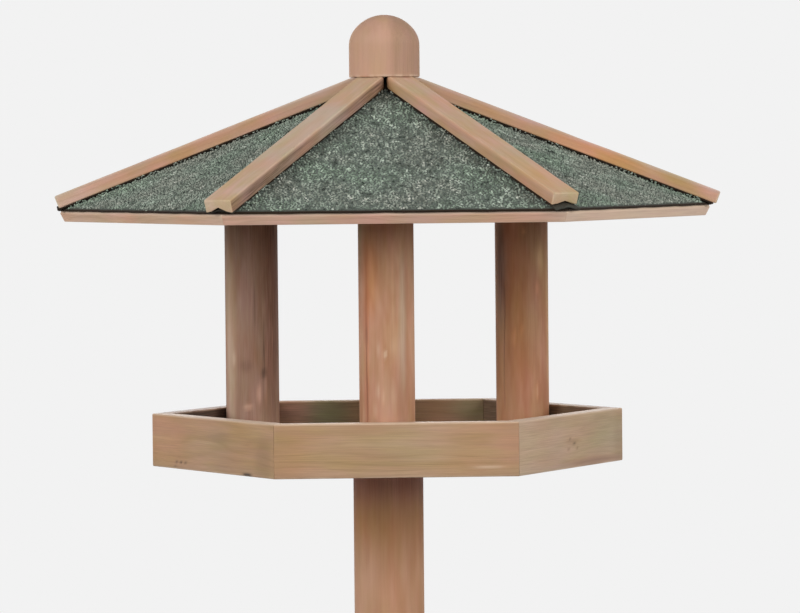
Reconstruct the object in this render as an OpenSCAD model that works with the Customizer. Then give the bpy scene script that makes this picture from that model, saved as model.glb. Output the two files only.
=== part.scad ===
// Hexagonal bird table: a felted six-sided roof on three round uprights,
// over a six-sided feeding tray, on a round post with three splayed legs.
// Millimetres. The origin is the middle of the post's foot, on the ground.
// +Z is up, -Y is the front, and two of the tray's corners lie on the X axis.

/* [Post] */
// Diameter of the post
post_d = 65; // [50:1:90]
// Height of the post, from the ground to the underside of the tray
post_h = 1287; // [900:1:1500]

/* [Legs] */
// Diameter of the splayed legs
leg_d = 50; // [36:1:60]
// Distance from the post's axis to the middle of each foot
leg_reach = 265; // [220:5:400]
// Height at which the legs' axes meet the post's axis
leg_join_h = 300; // [240:5:420]

/* [Tray] */
// Width of the tray over opposite corners
tray_across = 434; // [360:1:540]
// Height of the tray's sides
tray_h = 48.5; // [36:0.5:90]
// Thickness of the tray's sides
tray_wall = 16.5; // [10:0.5:25]
// Thickness of the tray's floor
floor_t = 12; // [8:0.5:18]

/* [Uprights] */
// Diameter of the three uprights
upright_d = 50; // [36:1:60]
// How far the uprights sit round from the middles of the tray's sides, in degrees
upright_turn = -2.4; // [-4:0.1:4]

/* [Roof] */
// Width of the roof over opposite corners of the felt
roof_across = 606; // [540:1:720]
// Slope of the hips, in degrees
hip_slope = 21.2; // [16:0.1:30]
// Height of the felt's corners above the tray's rim
eave_h = 189.5; // [120:0.5:260]
// How far the roof sits round from the tray, in degrees
roof_turn = -0.6; // [-4:0.1:4]
// Thickness of the roof panels
panel_t = 11; // [6:0.5:15]
// Thickness of the mineral felt
felt_t = 3; // [1:0.1:4]
// How far the felt hangs past the panels, along the slope
felt_overhang = 1; // [0:0.5:6]

/* [Hip strips and battens] */
// Thickness of the felt strips folded over the hips
strip_t = 1.6; // [1:0.1:4]
// Width of the felt strips
strip_w = 25; // [16:1:36]
// How far the strips stop short of the felt's corners, along the hip
strip_setback = 1; // [0:0.5:10]
// Width of the battens
batten_w = 26; // [18:1:36]
// Thickness of the battens over the ridge
batten_t = 9.4; // [7:0.2:16]
// How far the battens stop short of the felt's corners, along the hip
batten_setback = 3; // [0:0.5:15]
// The same for the front right batten, which is cut shorter
short_batten_setback = 8; // [0:0.5:15]
// How far the front left batten and the right one, which are cut longer, reach past the felt's corners
long_batten_reach = 1.5; // [0:0.5:6]
// Gap between neighbouring battens where they meet under the cap
batten_gap = 3; // [1:0.5:6]
// Width of the V-shaped groove along the middle of a batten's underside
groove_w = 16; // [6:1:16]
// Height of the groove's point over the ridge of the strip
groove_h = 1.5; // [0.5:0.1:3]

/* [Cap] */
// Diameter of the cap
cap_d = 65; // [60:1:90]
// Height of the cap's straight part
cap_straight_h = 29; // [15:0.5:45]
// Height of the cap's dome
cap_dome_h = 28.4; // [22:0.2:30]
// How far the crown of the dome rises over its shoulder
cap_crown_rise = 4.4; // [2:0.2:8]

/* [Fits] */
// Width of the open line in a mitred joint
mitre_gap = 0.3; // [0.1:0.1:1]
// Clearance where a piece seats beside another one
seat_gap = 0.3; // [0.1:0.1:1]

/* [Hidden] */
$fn = 96;

corners = 6;
half_turn = 180 / corners;
side_names = ["back_right", "back", "back_left", "front_left", "front", "front_right"];
corner_names = ["right", "back_right", "back_left", "left", "front_left", "front_right"];
upright_sides = [0, 2, 4];
short_batten = "front_right";
long_battens = ["front_left", "right"];

// Names of all pieces
function named(prefix, names) = [for (n = names) str(prefix, n)];
upright_names = [for (i = upright_sides) side_names[i]];

// Colours
pale_wood = "#C4A384";
tray_wood = "#AC8B68";
post_wood = "#A87C5E";
felt_green = "#647A6B";
felt_black = "#3A3230";

// Tray
tray_apothem = tray_across / 2 * cos(half_turn);
tray_inside = tray_apothem - tray_wall;
rim_z = post_h + tray_h;
floor_z = post_h + floor_t;

// Roof: the apex is where the felt's six top faces meet
roof_r = roof_across / 2;
apex_z = rim_z + eave_h + roof_r * tan(hip_slope);
face_slope = atan(tan(hip_slope) / cos(half_turn));
face_len = roof_r * cos(half_turn) / cos(face_slope);
hip_len = roof_r / cos(hip_slope);

// Across a hip, both faces fall away from the ridge by this much for each unit of width
hip_fall = sin(hip_slope) * tan(half_turn);
strip_rise = strip_t * sqrt(1 + hip_fall * hip_fall);
batten_top = strip_rise + batten_t;

// The battens are cut level where all of their top face is under the cap
cap_r = cap_d / 2;
cap_seat_r = sqrt(cap_r * cap_r - batten_w * batten_w / 4);
cap_z = apex_z + batten_top / cos(hip_slope) - cap_seat_r * tan(hip_slope);

// Dome of the cap: a crown arc that runs into a shoulder arc
cap_shoulder_r = cap_dome_h - cap_crown_rise;
shoulder_x = cap_r - cap_shoulder_r;
crown_drop = (shoulder_x * shoulder_x / cap_crown_rise - cap_crown_rise) / 2;
crown_r = cap_dome_h + crown_drop;

// Uprights stand against the inside of the tray's sides
upright_ring_r = (tray_inside - seat_gap - upright_d / 2) / cos(upright_turn);

// Legs
leg_lean = atan(leg_reach / leg_join_h);
leg_len = sqrt(leg_reach * leg_reach + leg_join_h * leg_join_h);

// Azimuths of the middle of a side of the tray, of the roof's side over it, and of a hip
function side_az(i) = (2 * i + 1) * half_turn;
function roof_side_az(i) = side_az(i) + roof_turn;
function hip_az(i) = 2 * i * half_turn + roof_turn;

// How far a batten's end stays back from the felt's corner
function setback(name) =
    name == short_batten ? short_batten_setback
    : len([for (n = long_battens) if (n == name) n]) > 0 ? -long_batten_reach
    : batten_setback;

// Upright prism over a sector of half-angle half, its two sides moved in by half a gap
module sector(half, gap, r, h) {
    tip = gap / 2 / sin(half);
    reach_y = (r - tip) * tan(half);
    linear_extrude(h)
        polygon([[tip, 0], [r, -reach_y], [r, reach_y]]);
}

// Slab of one roof face, between two depths below the felt's top face
module face_slab(i, top, thick, len) {
    intersection() {
        translate([0, 0, apex_z])
            rotate([0, face_slope, roof_side_az(i)])
            translate([-roof_r, -roof_r, -top - thick])
            cube([roof_r + len, 2 * roof_r, thick]);
        rotate([0, 0, roof_side_az(i)])
            sector(half_turn, mitre_gap, roof_r, 2 * apex_z);
    }
}

// Length of stock with a given section, laid along one hip and cut to fit under the cap
module on_hip(i, len, gap) {
    intersection() {
        translate([0, 0, apex_z])
            rotate([0, hip_slope, hip_az(i)])
            rotate([90, 0, 90])
            linear_extrude(len)
            children();
        rotate([0, 0, hip_az(i)])
            sector(half_turn, gap, 2 * roof_r, cap_z);
    }
}

module cap() {
    color(pale_wood)
        translate([0, 0, cap_z])
        rotate_extrude()
        intersection() {
            square([cap_r, cap_straight_h + cap_dome_h]);
            union() {
                square([cap_r, cap_straight_h]);
                translate([shoulder_x, cap_straight_h])
                    circle(cap_shoulder_r);
                translate([0, cap_straight_h - crown_drop])
                    intersection() {
                        circle(crown_r);
                        polygon([[0, 0], 3 * [shoulder_x, crown_drop + cap_crown_rise], [0, 3 * crown_r]]);
                    }
            }
        }
}

module hip_batten(i) {
    side = batten_w / 2;
    mid = groove_w / 2;
    color(pale_wood)
        on_hip(i, hip_len - setback(corner_names[i]), batten_gap)
        polygon([
            [-side, batten_top],
            [-side, strip_rise - side * hip_fall],
            [-mid, strip_rise - mid * hip_fall],
            [0, strip_rise + groove_h],
            [mid, strip_rise - mid * hip_fall],
            [side, strip_rise - side * hip_fall],
            [side, batten_top]
        ]);
}

module hip_strip(i) {
    side = strip_w / 2;
    color(felt_black)
        on_hip(i, hip_len - strip_setback, mitre_gap)
        polygon([
            [-side, strip_rise - side * hip_fall],
            [-side, -side * hip_fall],
            [0, 0],
            [side, -side * hip_fall],
            [side, strip_rise - side * hip_fall],
            [0, strip_rise]
        ]);
}

module roof_felt(i) {
    color(felt_green)
        face_slab(i, 0, felt_t, face_len);
}

module roof_panel(i) {
    color(pale_wood)
        face_slab(i, felt_t, panel_t, face_len - felt_overhang);
}

// Round upright on the tray's floor, cut to the underside of the roof panel over it
module upright(i) {
    color(post_wood)
        difference() {
            rotate([0, 0, side_az(i) + upright_turn])
                translate([upright_ring_r, 0, floor_z])
                cylinder(d = upright_d, h = apex_z - floor_z);
            translate([0, 0, apex_z])
                rotate([0, face_slope, roof_side_az(i)])
                translate([-roof_r, -roof_r, -felt_t - panel_t])
                cube([3 * roof_r, 2 * roof_r, 2 * roof_r]);
        }
}

module tray_side(i) {
    outer = tray_apothem * tan(half_turn) - mitre_gap / 2 / cos(half_turn);
    inner = outer - tray_wall * tan(half_turn);
    color(tray_wood)
        rotate([0, 0, side_az(i)])
        translate([0, 0, post_h])
        linear_extrude(tray_h)
        polygon([
            [tray_apothem, -outer],
            [tray_apothem, outer],
            [tray_inside, inner],
            [tray_inside, -inner]
        ]);
}

module tray_floor() {
    color(tray_wood)
        translate([0, 0, post_h])
        cylinder(r = (tray_inside - seat_gap) / cos(half_turn), h = floor_t, $fn = corners);
}

module post() {
    color(post_wood)
        cylinder(d = post_d, h = post_h);
}

// Round leg with its foot cut level on the ground and its head coped round the post
module leg(i) {
    color(post_wood)
        rotate([0, 0, side_az(i)])
        difference() {
            intersection() {
                translate([leg_reach, 0, 0])
                    rotate([0, -leg_lean, 0])
                    translate([0, 0, -2 * leg_d])
                    cylinder(d = leg_d, h = leg_len + 4 * leg_d);
                sector(180 / len(upright_sides), mitre_gap, 2 * leg_reach, leg_join_h + 4 * leg_d);
            }
            cylinder(d = post_d + 2 * seat_gap, h = post_h);
        }
}

cap();
for (i = [0 : corners - 1]) {
    hip_batten(i);
    hip_strip(i);
    roof_felt(i);
    roof_panel(i);
    tray_side(i);
}
for (i = upright_sides) {
    upright(i);
    leg(i);
}
tray_floor();
post();
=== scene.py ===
import math

import bpy
import numpy as np
from mathutils import Matrix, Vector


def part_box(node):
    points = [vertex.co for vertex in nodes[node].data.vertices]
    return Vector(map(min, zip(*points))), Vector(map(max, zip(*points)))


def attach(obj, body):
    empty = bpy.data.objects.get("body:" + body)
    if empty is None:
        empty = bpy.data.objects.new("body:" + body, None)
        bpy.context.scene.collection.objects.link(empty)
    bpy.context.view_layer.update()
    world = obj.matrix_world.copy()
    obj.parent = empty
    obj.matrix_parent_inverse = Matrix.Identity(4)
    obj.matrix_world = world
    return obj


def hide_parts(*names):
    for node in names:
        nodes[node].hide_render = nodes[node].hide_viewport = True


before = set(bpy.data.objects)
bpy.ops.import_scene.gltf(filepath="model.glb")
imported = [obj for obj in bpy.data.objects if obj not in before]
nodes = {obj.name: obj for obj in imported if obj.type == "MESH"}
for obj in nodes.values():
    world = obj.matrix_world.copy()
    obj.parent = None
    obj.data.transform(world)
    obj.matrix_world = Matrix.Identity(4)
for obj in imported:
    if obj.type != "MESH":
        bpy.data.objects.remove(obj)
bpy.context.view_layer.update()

# Hexagonal bird table: felted hip roof on three round uprights, over a six-sided tray on a post.
# Metres, Z up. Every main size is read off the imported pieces; small ones are set beside each piece.
# In the pieces' dictionaries, a drift is how far a value strays along a piece, and how long its waves are.
mm = 0.001
sideNames = ["back_right", "back", "back_left", "front_left", "front", "front_right"]
cornerNames = ["right", "back_right", "back_left", "left", "front_left", "front_right"]
sixth = math.radians(60)
tanHalf = math.tan(sixth / 2)
sideTurn = {name: (i + 0.5) * sixth for i, name in enumerate(sideNames)}
uprightSides = [name for name in sideNames if "upright_" + name in nodes]


def facing(node):
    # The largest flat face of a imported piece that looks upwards: its slope from level, the way it looks,
    # and the height where its plane meets the table's upright axis
    faces = [f for f in nodes[node].data.polygons if f.normal.z > 0.5]
    face = max(faces, key=lambda f: f.area)
    normal, middle = face.normal, face.center
    height = middle.z + (normal.x * middle.x + normal.y * middle.y) / normal.z
    return math.acos(min(1, normal.z)), math.atan2(normal.y, normal.x), height


def boxArrays(node):
    low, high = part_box(node)
    return np.array(low), np.array(high)


def laid(node, slope, turn):
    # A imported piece's points measured down the roof: along the slope from the apex, across it, and
    # square up from it
    mesh = nodes[node].data
    points = np.empty(len(mesh.vertices) * 3)
    mesh.vertices.foreach_get("co", points)
    x, y, z = points.reshape(-1, 3).T
    out = x * math.cos(turn) + y * math.sin(turn)
    drop = apexZ - z
    along = out * math.cos(slope) + drop * math.sin(slope)
    return along, y * math.cos(turn) - x * math.sin(turn), out * math.sin(slope) - drop * math.cos(slope)


# Roof: it sits a little round from the tray
faceSlope, frontWay, apexZ = facing("roof_felt_front")
roofTurn = math.remainder(frontWay - sideTurn["front"], 2 * math.pi)
roofTurns = {name: turn + roofTurn for name, turn in sideTurn.items()}
hipTurns = {name: i * sixth + roofTurn for i, name in enumerate(cornerNames)}
hipSlope = facing("hip_batten_right")[0]
hipFall = math.sin(hipSlope) * tanHalf
feltAlong, _, feltUp = laid("roof_felt_front", faceSlope, roofTurns["front"])
panelAlong, _, panelUp = laid("roof_panel_front", faceSlope, roofTurns["front"])
faceLength, feltT = feltAlong.max(), -feltUp.min()
panelLength, panelT = panelAlong.max(), -panelUp.min() - feltT
panelUnderZ = apexZ - (feltT + panelT) / math.cos(faceSlope)
capLow, capHigh = boxArrays("cap")

# Tray, post and legs
trayLow, trayHigh = boxArrays("tray_side_front")
floorLow, floorHigh = boxArrays("tray_floor")
postLow, postHigh = boxArrays("post")
legLow, legHigh = boxArrays("leg_front")


def turned(turn, out, across, height):
    # Points in a vertical plane through the axis, and across it, turned about the axis
    x = out * math.cos(turn) - across * math.sin(turn)
    y = out * math.sin(turn) + across * math.cos(turn)
    return np.stack([x, y, height + 0 * x], -1)


def sloped(slope, turn, along, across, up):
    # Points laid down the roof: along the slope from the apex, across it, and square up from it
    out = along * math.cos(slope) + up * math.sin(slope)
    height = apexZ - along * math.sin(slope) + up * math.cos(slope)
    return turned(turn, out, across, height)


def lines(low, high, step, ease):
    # Places of grid lines: close together in the eased edges, evenly apart between them
    edge = ease * np.array([0, 0.3, 0.65, 1, 1.7])
    low2, high2 = low + edge[-1], high - edge[-1]
    count = max(1, round((high2 - low2) / step))
    inner = np.linspace(low2, high2, count + 1)[1:-1]
    return np.concatenate([low + edge, inner, high - edge[::-1]])


def shell(xs, ys, zs):
    # The skin of a block: every point of the three sets of grid lines that lies on the outside, once,
    # and the quads between them, facing outwards
    count = np.array([len(xs), len(ys), len(zs)])
    place = np.indices(count)
    outside = ((place == 0) | (place == (count - 1)[:, None, None, None])).any(0)
    index = np.full(count, -1)
    index[outside] = np.arange(outside.sum())
    points = np.stack(np.meshgrid(xs, ys, zs, indexing="ij"), -1)[outside]
    quads = []
    for axis in range(3):
        for end in (0, -1):
            sheet = np.take(index, end, axis)
            ring = [sheet[:-1, :-1], sheet[1:, :-1], sheet[1:, 1:], sheet[:-1, 1:]]
            if (end == 0) != (axis == 1):
                ring.reverse()
            quads.append(np.stack(ring, -1).reshape(-1, 4))
    return points, [np.concatenate(quads)]


def eased(points, low, high, ease):
    # Rounded arrises: a point beyond the inner block is set back to a ball of the easing's radius
    # round its nearest point in that block, or to an ellipsoid where the easing differs by direction.
    # Also gives each point's distance from the nearest arris
    low, high = np.array(low), np.array(high)
    inner = np.clip(points, low + ease, high - ease)
    reach = (points - inner) / ease
    length = np.linalg.norm(reach, axis=1, keepdims=True)
    depth = np.sort(np.minimum(points - low, high - points), 1)
    return inner + ease * reach / np.maximum(length, 1e-9), depth[:, 1]


def block(low, high, step, ease):
    # The skin of a block between two corners, with rounded arrises, each point's distance from the
    # nearest one, and the faces. Step and ease are one number, or one for each direction
    low, high = np.array(low), np.array(high)
    step, ease = np.broadcast_to(step, 3), np.broadcast_to(ease, 3)
    points, faces = shell(*(lines(low[k], high[k], step[k], ease[k]) for k in range(3)))
    return *eased(points, low, high, ease), faces


def wander(along, size, wave, seed):
    # A slow wave down a length: four sines of random phase, each shorter and weaker than the last
    draw = np.random.default_rng(seed)
    total = 0 * along
    for k in range(1, 5):
        total = total + np.sin(2 * math.pi * along * k ** 0.8 / wave + draw.uniform(0, 7)) / k
    return size * total / 2


def spots(along, across, marks):
    # Dark (below 0) and pale (above 0) marks: a soft-edged oval for each, by its middle, half lengths
    # along and across, and strength. All in millimetres on the piece's face
    tone = 0 * along
    for middle, side, longHalf, wideHalf, strength in marks:
        distance = ((along / mm - middle) / longHalf) ** 2 + ((across / mm - side) / wideHalf) ** 2
        tone = tone + strength * np.exp(-distance ** 1.5)
    return tone


def tinted(warmth, flush):
    # How far the stain's red, green and blue are turned: warmth from grey to orange, flush from
    # olive to pink
    red = 0.05 * warmth + 0.15 * flush
    green = -0.06 * warmth - 0.02 * flush
    blue = 0.05 * flush - 0.24 * warmth
    return np.stack([red, green, blue], 1)


def makePiece(name, points, faces, material, slotName, replaced, **values):
    # Puts arrays into a mesh: points, faces by number of corners, and one attribute for each value
    mesh = bpy.data.meshes.new(name)
    mesh.vertices.add(len(points))
    mesh.vertices.foreach_set("co", points.astype(np.float32).ravel())
    corners = np.concatenate([f.ravel() for f in faces])
    sizes = np.concatenate([np.full(len(f), f.shape[1]) for f in faces])
    mesh.loops.add(len(corners))
    mesh.loops.foreach_set("vertex_index", corners.astype(np.int32))
    mesh.polygons.add(len(sizes))
    mesh.polygons.foreach_set("loop_start", (np.cumsum(sizes) - sizes).astype(np.int32))
    mesh.polygons.foreach_set("use_smooth", np.full(len(sizes), True))
    for valueName, value in values.items():
        kind = ("FLOAT_VECTOR", "vector") if value.ndim == 2 else ("FLOAT", "value")
        attribute = mesh.attributes.new(valueName, kind[0], "POINT")
        attribute.data.foreach_set(kind[1], value.astype(np.float32).ravel())
    mesh.update(calc_edges=True)
    mesh.validate()
    mesh.materials.append(material)
    piece = bpy.data.objects.new(name, mesh)
    bpy.context.scene.collection.objects.link(piece)
    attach(piece, "root")
    if replaced:
        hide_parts(*replaced)


# Materials

def linear(code):
    # sRGB hex to linear light
    parts = np.array([int(code[i:i + 2], 16) for i in (1, 3, 5)]) / 255
    light = np.where(parts <= 0.04045, parts / 12.92, ((parts + 0.055) / 1.055) ** 2.4)
    return (*light.tolist(), 1)


def add(tree, kind, sockets=None, stops=None, **settings):
    # Adds a node with its settings, its values and links by socket, and a ramp's stops
    made = tree.nodes.new("ShaderNode" + kind)
    for key, value in settings.items():
        setattr(made, key, value)
    for key, value in (sockets or {}).items():
        if isinstance(value, bpy.types.NodeSocket):
            tree.links.new(value, made.inputs[key])
        else:
            made.inputs[key].default_value = value
    for k, (place, color) in enumerate(stops or []):
        ramp = made.color_ramp
        stop = ramp.elements[k] if k < 2 else ramp.elements.new(place)
        stop.position = place
        stop.color = color
    return made


def newMaterial(name):
    material = bpy.data.materials.new(name)
    material.use_nodes = True
    material.node_tree.nodes.clear()
    return material, material.node_tree


def grey(level):
    return (level, level, level, 1)


def oiledPine(name, early, late, streak, patch, ring=3.2, ringDepth=0.5, streakDepth=0.5,
              patchDepth=0.5, cloud=(85, 26), bandWidth=4.5, fibre=0.14, gloss=0.62, pale="#D9BFA6",
              dark="#4A3020", hue=0.5):
    # Softwood planed or turned smooth and given a thin oil stain: soft growth rings cut by the surface,
    # fine fibres along the grain, stain that took unevenly, and a dull satin face. The tone attribute
    # makes places darker or paler, and the tint attribute is added to the factor of each colour; on some
    # pieces both also carry painted light and shade.
    # Ring, cloud and band sizes are in mm. Fibres are drawn about 0.6 mm wide, coarser than the real
    # 0.03 mm
    material, tree = newMaterial(name)
    place = add(tree, "Attribute", attribute_name="grainPlace").outputs["Vector"]
    # Noises drawn out along the grain: size along it and across it in mm, detail, offset and roughness
    kinds = {
        "drift": (150, 32, 2, 0, 0.5),
        "fibres": (34, 0.6, 3, 3.1, 0.6),
        "bands": (190, bandWidth, 2, 7.7, 0.5),
        "clouds": (*cloud, 2, 1.9, 0.5),
        "pinks": (52, 13, 2, 12.3, 0.5),
        "wear": (22, 9, 3, 5.3, 0.5),
    }
    noises = {}
    for key, (along, across, detail, offset, rough) in kinds.items():
        scaled = add(tree, "VectorMath", {0: place, 1: (1 / along / mm, 1 / across / mm, 1 / across / mm),
                                          2: (offset, offset, offset)}, operation="MULTIPLY_ADD")
        noises[key] = add(tree, "TexNoise", {"Vector": scaled.outputs[0], "Scale": 1, "Detail": detail,
                                             "Roughness": rough}).outputs
    drift = add(tree, "VectorMath", {0: noises["drift"]["Color"], 1: (0.5, 0.5, 0.5)},
                operation="SUBTRACT")
    bent = add(tree, "VectorMath", {0: drift.outputs[0], 1: (0, 16 * mm, 16 * mm), 2: place},
               operation="MULTIPLY_ADD")
    flat = add(tree, "VectorMath", {0: bent.outputs[0], 1: (0, 1, 1)}, operation="MULTIPLY")
    far = add(tree, "VectorMath", {0: flat.outputs[0]}, operation="LENGTH")
    rings = add(tree, "Math", {0: far.outputs["Value"], 1: ring * mm}, operation="DIVIDE")
    turn = add(tree, "Math", {0: rings.outputs[0]}, operation="FRACT")
    lateWood = add(tree, "ValToRGB", {0: turn.outputs[0]}, stops=[
        (0.0, grey(0.25)), (0.12, grey(0)), (0.55, grey(0.2)), (0.86, grey(1)), (1.0, grey(0.25))])
    fibres = noises["fibres"]["Fac"]
    bands = add(tree, "MapRange", {"Value": noises["bands"]["Fac"], "From Min": 0.35, "From Max": 0.68})
    clouds = add(tree, "MapRange", {"Value": noises["clouds"]["Fac"], "From Min": 0.38, "From Max": 0.64})
    color = linear(early)
    for layer, depth, code in ((clouds, patchDepth, patch), (lateWood, ringDepth, late),
                               (bands, streakDepth, streak)):
        factor = add(tree, "Math", {0: layer.outputs[0], 1: depth}, operation="MULTIPLY")
        color = add(tree, "Mix", {0: factor.outputs[0], 6: color, 7: linear(code)},
                    data_type="RGBA").outputs[2]
    fibreTone = add(tree, "MapRange", {"Value": fibres, "From Min": 0.3, "From Max": 0.7,
                                       "To Min": 1 - fibre, "To Max": 1 + 0.7 * fibre})
    color = add(tree, "VectorMath", {0: color, 1: fibreTone.outputs[0]}, operation="MULTIPLY").outputs[0]
    # Pink and yellow patches a few centimetres long
    pink = add(tree, "MapRange", {"Value": noises["pinks"]["Fac"], "From Min": 0.36, "From Max": 0.64,
                                  "To Min": -hue, "To Max": hue})
    tint = add(tree, "VectorMath", {0: pink.outputs[0], 1: (0.07, 0.0, 0.16), 2: (1, 1, 1)},
               operation="MULTIPLY_ADD")
    own = add(tree, "Attribute", attribute_name="tint").outputs["Vector"]
    tint = add(tree, "VectorMath", {0: tint.outputs[0], 1: own}, operation="ADD")
    color = add(tree, "VectorMath", {0: color, 1: tint.outputs[0]}, operation="MULTIPLY").outputs[0]
    tone = add(tree, "Attribute", attribute_name="tone").outputs["Fac"]
    broken = add(tree, "Math", {0: fibres, 1: 1.6}, operation="MULTIPLY")
    marked = add(tree, "Math", {0: tone, 1: broken.outputs[0]}, operation="MULTIPLY")
    darker = add(tree, "Math", {0: marked.outputs[0], 1: -1}, operation="MULTIPLY", use_clamp=True)
    paler = add(tree, "Math", {0: marked.outputs[0], 1: 1}, operation="MULTIPLY", use_clamp=True)
    arris = add(tree, "Attribute", attribute_name="arris").outputs["Fac"]
    worn = add(tree, "MapRange", {"Value": noises["wear"]["Fac"], "From Min": 0.35, "From Max": 0.6})
    rubbed = add(tree, "Math", {0: arris, 1: worn.outputs[0]}, operation="MULTIPLY", use_clamp=True)
    for layer, depth, code in ((darker, 1, dark), (paler, 1, pale), (rubbed, 0.65, pale)):
        factor = add(tree, "Math", {0: layer.outputs[0], 1: depth}, operation="MULTIPLY")
        color = add(tree, "Mix", {0: factor.outputs[0], 6: color, 7: linear(code)},
                    data_type="RGBA").outputs[2]
    roughness = add(tree, "MapRange", {"Value": fibres, "To Min": gloss - 0.08, "To Max": gloss + 0.14})
    relief = add(tree, "Math", {0: lateWood.outputs[0], 1: 0.6, 2: fibres}, operation="MULTIPLY_ADD")
    bump = add(tree, "Bump", {"Height": relief.outputs[0], "Strength": 0.5, "Distance": 0.25 * mm})
    skin = add(tree, "BsdfPrincipled", {"Base Color": color, "Roughness": roughness.outputs[0],
                                        "IOR": 1.45, "Normal": bump.outputs[0]})
    add(tree, "OutputMaterial", {"Surface": skin.outputs[0]})
    return material


def slateChips(name):
    # Crushed slate chips, grey with some pale and some nearly black ones, dull and dry. The tint drifts
    # over a few centimetres from green to mauve grey, as the stone does, and the batch attribute, a small
    # shift for each chip, turns it towards mauve
    material, tree = newMaterial(name)
    chip = add(tree, "Attribute", attribute_name="chip").outputs["Fac"]
    place = add(tree, "TexCoord").outputs["Object"]
    stone = add(tree, "ValToRGB", {0: chip}, stops=[
        (0.0, linear("#333B34")), (0.2, linear("#717A70")), (0.5, linear("#959F94")),
        (0.8, linear("#B1BAAE")), (1.0, linear("#E2E8DE"))])
    batch = add(tree, "Attribute", attribute_name="batch").outputs["Fac"]
    drift = add(tree, "TexNoise", {"Vector": place, "Scale": 18, "Detail": 1.5})
    tint = add(tree, "Math", {0: drift.outputs["Fac"], 1: batch}, operation="ADD")
    patch = add(tree, "ValToRGB", {0: tint.outputs[0]}, stops=[
        (0.34, linear("#E8F5E9")), (0.5, linear("#F0F5F0")), (0.66, linear("#F8F2F0"))])
    color = add(tree, "Mix", {0: 1.0, 6: stone.outputs[0], 7: patch.outputs[0]}, data_type="RGBA",
                blend_type="MULTIPLY")
    grit = add(tree, "TexNoise", {"Vector": place, "Scale": 2600, "Detail": 2})
    roughness = add(tree, "MapRange", {"Value": grit.outputs["Fac"], "To Min": 0.7, "To Max": 0.95})
    bump = add(tree, "Bump", {"Height": grit.outputs["Fac"], "Strength": 0.6, "Distance": 0.15 * mm})
    skin = add(tree, "BsdfPrincipled", {"Base Color": color.outputs[2], "Roughness": roughness.outputs[0],
                                        "IOR": 1.5, "Normal": bump.outputs[0]})
    add(tree, "OutputMaterial", {"Surface": skin.outputs[0]})
    return material


def bitumenFelt(name):
    # Roofing felt soaked in bitumen: near-black matt sheet, dusted with fine slate grit where the piece's
    # dust attribute says so, and bare along its cut edges
    material, tree = newMaterial(name)
    place = add(tree, "TexCoord").outputs["Object"]
    dust = add(tree, "Attribute", attribute_name="dust").outputs["Fac"]
    grit = add(tree, "TexNoise", {"Vector": place, "Scale": 700, "Detail": 4, "Roughness": 0.7})
    wear = add(tree, "TexNoise", {"Vector": place, "Scale": 45, "Detail": 3})
    specks = add(tree, "MapRange", {"Value": grit.outputs["Fac"], "From Min": 0.28, "From Max": 0.55})
    amount = add(tree, "Math", {0: specks.outputs[0], 1: dust}, operation="MULTIPLY")
    base = add(tree, "Mix", {0: wear.outputs["Fac"], 6: linear("#17100B"), 7: linear("#33261B")},
               data_type="RGBA")
    color = add(tree, "Mix", {0: amount.outputs[0], 6: base.outputs[2], 7: linear("#87938A")},
                data_type="RGBA")
    roughness = add(tree, "MapRange", {"Value": wear.outputs["Fac"], "To Min": 0.68, "To Max": 0.95})
    bump = add(tree, "Bump", {"Height": grit.outputs["Fac"], "Strength": 0.8, "Distance": 0.4 * mm})
    skin = add(tree, "BsdfPrincipled", {"Base Color": color.outputs[2], "Roughness": roughness.outputs[0],
                                        "Specular IOR Level": 0.15, "Normal": bump.outputs[0]})
    add(tree, "OutputMaterial", {"Surface": skin.outputs[0]})
    return material


capWood = oiledPine("turnedPineCap", "#C29A80", "#B0876C", "#AE886E", "#C5997C", ring=5, ringDepth=0.12,
                    streakDepth=0.25, bandWidth=12, cloud=(24, 14), fibre=0.02, hue=0.35)
battenWood = oiledPine("planedPineBatten", "#D2B09A", "#BA9277", "#C29876", "#D0A27D", ring=3.0,
                       ringDepth=0.2, patchDepth=0.9, cloud=(48, 15), fibre=0.07, pale="#CEBDA2", hue=0.9)
panelWood = oiledPine("sawnPinePanel", "#D0AD95", "#B48E77", "#B99078", "#D2A78C", ring=2.8, ringDepth=0.35)
uprightWood = oiledPine("turnedPineUpright", "#C4997B", "#A1755A", "#9F6E4F", "#B07C5A", ring=5.2,
                        ringDepth=0.15, streakDepth=0.45, bandWidth=10, patchDepth=0.8, cloud=(46, 11),
                        fibre=0.05)
trayWood = oiledPine("planedPineTray", "#B29171", "#977752", "#A2805D", "#B08864", ring=3.8, ringDepth=0.35,
                     patchDepth=0.7, bandWidth=7, dark="#43352A")
floorWood = oiledPine("sawnPineFloor", "#A98868", "#8A6A4A", "#967452", "#A9845F", ring=3.6, ringDepth=0.45)
postWood = oiledPine("turnedPinePost", "#BB9071", "#A0734F", "#9F714F", "#B28061", ring=6.5, ringDepth=0.14,
                     streakDepth=0.4, bandWidth=8, patchDepth=0.8, cloud=(60, 13), fibre=0.04, hue=0.3)
chipStone = slateChips("crushedSlateChips")
feltSheetFinish = bitumenFelt("bitumenFeltSheet")
stripFinish = bitumenFelt("bitumenFeltStrip")
print("materials made")


# Felt sheets with their chips

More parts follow.
